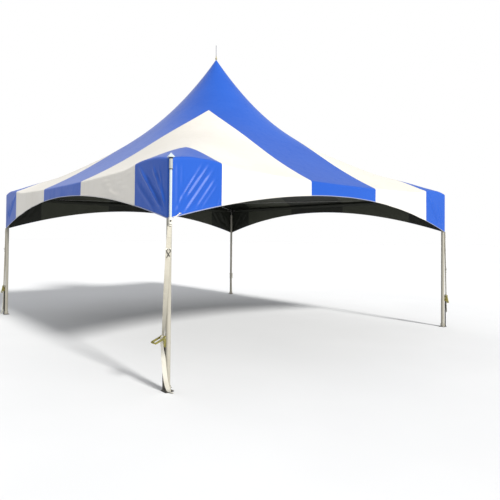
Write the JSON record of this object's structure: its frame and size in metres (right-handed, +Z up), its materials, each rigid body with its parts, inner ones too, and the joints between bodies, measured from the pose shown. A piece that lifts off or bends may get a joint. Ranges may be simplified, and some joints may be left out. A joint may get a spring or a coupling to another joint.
{
  "type": "marquee tent",
  "caption": "Square frame marquee with a striped vinyl top drawn up to a peak, arched valances, corner legs, and a ratchet strap on each leg that tightens the top.",
  "frame": {"origin": "on the ground at the middle of the square of legs", "axes": "+Z up along the mast; -Y the front side, which is the bright face in the picture; -X the left side, the shaded face; the bare corner pole is at the front left leg"},
  "size_m": [6.421, 6.322, 5.4408],
  "materials": {
    "blue_vinyl": "glossy vinyl-coated fabric, dark lining",
    "white_vinyl": "glossy vinyl-coated fabric, dark lining",
    "leg_tube": "satin, cream",
    "rail_tube": "matt, in the dark lining's sleeve",
    "white_paint": "gloss white",
    "cast_metal": "dark, rough",
    "yellow_zinc": "yellow zinc plate",
    "webbing": "off-white woven webbing",
    "dark_webbing": "black woven webbing",
    "steel_rope": "galvanised wire rope"
  },
  "bodies": {
    "tent": {"canopy_centre_front": "blue_vinyl", "canopy_centre_left": "blue_vinyl", "canopy_centre_rear": "blue_vinyl", "canopy_centre_right": "blue_vinyl", "canopy_hip_front_left": "white_vinyl", "canopy_hip_front_right": "white_vinyl", "canopy_hip_rear_left": "white_vinyl", "canopy_hip_rear_right": "white_vinyl", "canopy_corner_front_left": "blue_vinyl", "canopy_corner_front_right": "blue_vinyl", "canopy_corner_rear_left": "blue_vinyl", "canopy_corner_rear_right": "blue_vinyl", "eave_rail_front": "rail_tube", "eave_rail_left": "rail_tube", "eave_rail_rear": "rail_tube", "eave_rail_right": "rail_tube", "corner_fitting_front_left": "cast_metal", "leg_front_left": "leg_tube", "foot_front_left": "cast_metal", "cable_front_left": "steel_rope", "tension_strap_front_left": "webbing", "ratchet_frame_front_left": "yellow_zinc", "anchor_strap_front_left": "dark_webbing", "strap_tail_front_left": "webbing", "corner_fitting_front_right": "cast_metal", "leg_front_right": "leg_tube", "foot_front_right": "cast_metal", "cable_front_right": "steel_rope", "tension_strap_front_right": "webbing", "ratchet_frame_front_right": "yellow_zinc", "anchor_strap_front_right": "dark_webbing", "strap_tail_front_right": "webbing", "corner_fitting_rear_left": "cast_metal", "leg_rear_left": "leg_tube", "foot_rear_left": "cast_metal", "cable_rear_left": "steel_rope", "tension_strap_rear_left": "webbing", "ratchet_frame_rear_left": "yellow_zinc", "anchor_strap_rear_left": "dark_webbing", "strap_tail_rear_left": "webbing", "corner_fitting_rear_right": "cast_metal", "leg_rear_right": "leg_tube", "foot_rear_right": "cast_metal", "cable_rear_right": "steel_rope", "tension_strap_rear_right": "webbing", "ratchet_frame_rear_right": "yellow_zinc", "anchor_strap_rear_right": "dark_webbing", "strap_tail_rear_right": "webbing", "mast_hub": "cast_metal", "mast": "leg_tube", "finial": "white_paint", "corner_pole": "white_paint", "corner_pole_cap": "white_paint", "corner_pole_socket": "leg_tube"},
    "handle_front_left": {"ratchet_handle_front_left": "yellow_zinc"},
    "handle_front_right": {"ratchet_handle_front_right": "yellow_zinc"},
    "handle_rear_left": {"ratchet_handle_rear_left": "yellow_zinc"},
    "handle_rear_right": {"ratchet_handle_rear_right": "yellow_zinc"}
  },
  "joints": [
    {"name": "ratchet_front_left", "type": "hinge", "parent": "tent", "child": "handle_front_left", "pos_m": [-3.108, -3.048, 0.575], "axis": [0, 1, 0], "range_deg": [-57, 96]},
    {"name": "ratchet_front_right", "type": "hinge", "parent": "tent", "child": "handle_front_right", "pos_m": [3.09043, -3.09043, 0.575], "axis": [-0.7071, -0.7071, 0], "range_deg": [0, 153]},
    {"name": "ratchet_rear_left", "type": "hinge", "parent": "tent", "child": "handle_rear_left", "pos_m": [-3.09043, 3.09043, 0.575], "axis": [0.7071, 0.7071, 0], "range_deg": [0, 153]},
    {"name": "ratchet_rear_right", "type": "hinge", "parent": "tent", "child": "handle_rear_right", "pos_m": [3.09043, 3.09043, 0.575], "axis": [0.7071, -0.7071, 0], "range_deg": [0, 153]}
  ]
}
